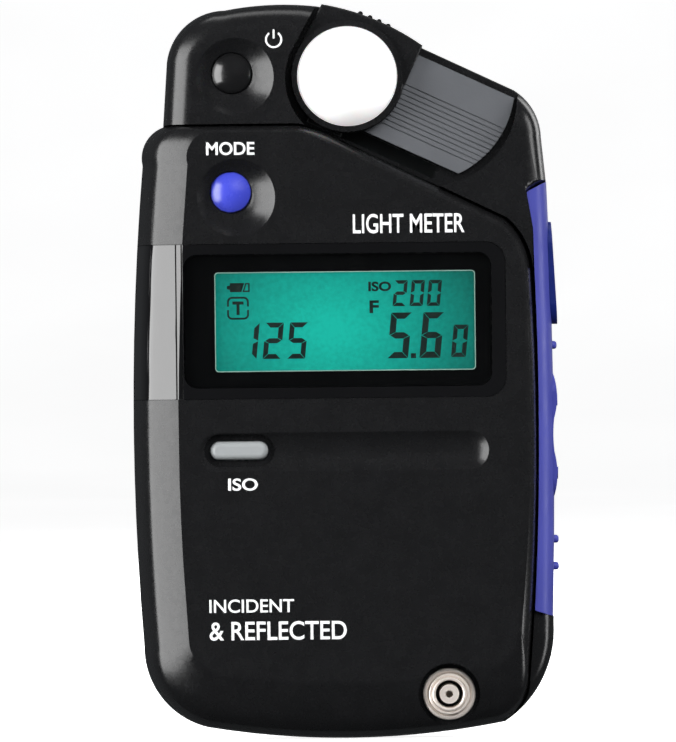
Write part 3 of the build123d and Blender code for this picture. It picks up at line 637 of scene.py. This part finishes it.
def build_legends():
    """Printed marks on the front, the back and the door."""
    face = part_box("front_cover")[0].y - INK_RISE * MM
    head_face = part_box("head_frame")[0].y - INK_RISE * MM
    power_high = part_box("power_button")[1]
    mode_low, mode_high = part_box("mode_button")
    iso_low, iso_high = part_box("iso_button")
    window_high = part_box("display_window")[1]
    mode_x = (mode_low.x + mode_high.x) / 2
    iso_x = (iso_low.x + iso_high.x) / 2

    spot = Vector((power_high.x + 2.55 * MM, head_face, power_high.z + 1.1 * MM))
    symbol = flat_shape("power_symbol", power_symbol(), FRONT, spot, INK_THICK)
    add_piece("power_symbol", symbol, ink_white, "case")
    words = (
        ("legend_mode", "MODE", mode_x - 3.55 * MM, mode_high.z + 1.7 * MM, 1.95, 7.2),
        ("legend_iso", "ISO", iso_x - 1.7 * MM, iso_low.z - 3.95 * MM, 1.85, 4.4),
        ("legend_upper", "LIGHT METER", window_high.x - 20.4 * MM, window_high.z + 3.0 * MM,
         2.9, 16.6),
        ("legend_lower_first", "INCIDENT", iso_low.x + 0.2 * MM, iso_low.z - 22.1 * MM, 2.0,
         12.6),
        ("legend_lower_second", "& REFLECTED", iso_low.x + 0.2 * MM, iso_low.z - 26.2 * MM, 2.8,
         20.4),
    )
    for name, text, left, low, height, width in words:
        mesh = lettering(name, text, FRONT, Vector((left, face, low)), height, width,
                         bold=0.02 if len(text) < 5 else 0.012)
        add_piece(name, mesh, ink_white, "case")

    label_low, label_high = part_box("rear_label")
    back = label_high.y + INK_RISE * MM
    rows = (
        ("label_line_1", "HANDHELD LIGHT METER", 9.6, 1.5, 22.0),
        ("label_line_2", "1 x AA  1.5 V", 6.6, 1.2, 10.5),
        ("label_line_3", "ISO 3 - 8000", 4.2, 1.2, 10.0),
        ("label_line_4", "F 1.4 - 90", 1.8, 1.2, 8.0),
    )
    for name, text, up, height, width in rows:
        start = Vector((label_high.x - 2.2 * MM, back, label_low.z + up * MM))
        mesh = lettering(name, text, REAR, start, height, width, bold=0.01)
        add_piece(name, mesh, ink_grey, "case")
    door_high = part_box("battery_door")[1]
    start = Vector((door_high.x - 17 * MM, door_high.y + 0.01 * MM, door_high.z - 12 * MM))
    mesh = lettering("door_polarity", "+   AA  1.5 V   -", REAR, start, 2.2, 18.0, bold=0.02)
    add_piece("door_polarity", mesh, ink_grey, "door")


def build_side_marks():
    """Raised up and down arrows on the two pads of the rocker."""
    low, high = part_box("up_down_rocker")
    middle = (low.y + high.y) / 2
    marks = (
        ("rocker_arrow_up", high.z - 4.4 * MM, [(-1.1, -0.8), (1.1, -0.8), (0, 1.0)]),
        ("rocker_arrow_down", low.z + 4.0 * MM, [(-1.1, 0.8), (0, -1.0), (1.1, 0.8)]),
    )
    for name, height, loop in marks:
        origin = Vector((high.x - 0.04 * MM, middle, height))
        mesh = flat_shape(name, [loop], RIGHT, origin, 0.3)
        add_piece(name, mesh, mark_blue, "rocker")


# ---------------------------------------------------------------- stage


# Lights: name, place, width, height, power in watts, and whether it leaves highlights
LIGHTS = (
    ("left_softbox", (-0.707, -0.33, 0.06), 0.81, 0.85, 14.5, True),
    ("top_softbox", (0.05, 0.08, 0.8), 0.8, 0.3, 1.4, True),
    ("front_fill", (0.45, -0.9, 0.55), 0.9, 0.7, 15, False),
    ("right_strip", (0.7, -0.03, 0.05), 0.2, 0.7, 2.2, True),
    ("rear_softbox", (-0.35, 0.95, 0.45), 0.8, 0.6, 11, False),
    ("rear_window", (0.5, 0.8, 0.35), 0.35, 0.6, 1.2, True),
)
LIGHT_AIM = (0, 0, 0.015)

# Camera: lens in mm, distance in metres, step to the side in mm, roll in degrees
LENS = 427
CAMERA_DISTANCE = 1.2
CAMERA_SIDE = -1.1
CAMERA_ROLL = 0.62


def build_stage():
    """Pale round floor that curves up into a backdrop on every side."""
    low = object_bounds()[0][2]
    middle = 0.05
    flat = 2.6
    bend = 1.2
    top = 6.0
    bend_steps = 12
    steps = 64
    profile = [(middle, low), (flat, low)]
    for step in range(1, bend_steps + 1):
        turn = math.radians(90 * step / bend_steps)
        profile.append((flat + bend * math.sin(turn), low + bend - bend * math.cos(turn)))
    profile.append((flat + bend, top))
    work = bmesh.new()
    rows = []
    for radius, height in profile:
        turns = [2 * math.pi * step / steps for step in range(steps)]
        rows.append([work.verts.new((radius * math.cos(turn), radius * math.sin(turn), height))
                     for turn in turns])
    work.faces.new(rows[0])
    for inner, outer in zip(rows, rows[1:]):
        for step in range(steps):
            following = (step + 1) % steps
            work.faces.new((inner[step], inner[following], outer[following], outer[step]))
    bmesh.ops.recalc_face_normals(work, faces=work.faces)
    mesh = bpy.data.meshes.new("floor_sheet")
    work.to_mesh(mesh)
    work.free()
    mesh.shade_smooth()
    floor = bpy.data.objects.new("floor_sheet", mesh)
    bpy.context.scene.collection.objects.link(floor)
    look, tree, output = new_material("pale_paper")
    shader = tree.nodes.new("ShaderNodeBsdfPrincipled")
    tint = ramp(tree, noise(tree, 6, 4.0), (0.3, (0.87, 0.87, 0.87)), (0.7, (0.9, 0.9, 0.9)))
    tree.links.new(tint, shader.inputs["Base Color"])
    tree.links.new(tint, shader.inputs["Emission Color"])
    shader.inputs["Emission Strength"].default_value = 1.0
    shader.inputs["Roughness"].default_value = 0.9
    shader.inputs["Specular IOR Level"].default_value = 0.0
    tree.links.new(shader.outputs["BSDF"], output.inputs["Surface"])
    mesh.materials.append(look)
    floor.visible_glossy = False
    floor.visible_diffuse = False
    floor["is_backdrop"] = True


def add_light(name, place, target, wide, tall, power, gloss):
    """Soft rectangular light aimed at a point; one without gloss leaves no highlights."""
    data = bpy.data.lights.new(name, "AREA")
    data.shape = "RECTANGLE"
    data.size = wide
    data.size_y = tall
    data.energy = power
    lamp = bpy.data.objects.new(name, data)
    lamp.location = place
    lamp.rotation_euler = (Vector(target) - Vector(place)).to_track_quat("-Z", "Y").to_euler()
    lamp.visible_glossy = gloss
    bpy.context.scene.collection.objects.link(lamp)


def build_lights():
    """Dim world and the soft lights round the object."""
    world = bpy.data.worlds.new("studio")
    world.use_nodes = True
    background = world.node_tree.nodes["Background"]
    background.inputs["Color"].default_value = (0.9, 0.95, 1.0, 1)
    background.inputs["Strength"].default_value = 0.05
    bpy.context.scene.world = world
    for name, place, wide, tall, power, gloss in LIGHTS:
        add_light(name, place, LIGHT_AIM, wide, tall, power, gloss)


def build_camera():
    """Long lens straight in front of the object, at the photo's slight roll."""
    data = bpy.data.cameras.new("photo_view")
    data.sensor_fit = "HORIZONTAL"
    data.sensor_width = 36
    data.lens = LENS
    data.clip_end = 20
    camera = bpy.data.objects.new("photo_view", data)
    low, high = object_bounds()
    middle = (Vector(low) + Vector(high)) / 2
    camera.location = (middle.x + CAMERA_SIDE * MM, middle.y - CAMERA_DISTANCE, middle.z)
    camera.rotation_euler = (math.radians(90), math.radians(CAMERA_ROLL), 0)
    bpy.context.scene.collection.objects.link(camera)
    bpy.context.scene.camera = camera


# ---------------------------------------------------------------- assembly


refine("front_cover", soften=0.1, smooth=18)
refine("window_bezel", soften=0.05, smooth=18)
for skin in ("head_frame", "rear_cover"):
    refine(skin, soften=0.1)
for skin in ("side_grip", "battery_door", "lumisphere_carrier", "track_plate"):
    refine(skin, soften=0.08)
for skin in ("power_button", "mode_button", "iso_button", "measuring_button", "up_down_rocker"):
    refine(skin, soften=0.1)
refine("lumisphere", smooth=50)
build_terminal()
build_display()
build_legends()
build_side_marks()
build_stage()
build_lights()
build_camera()
bpy.context.scene.view_settings.view_transform = "Standard"
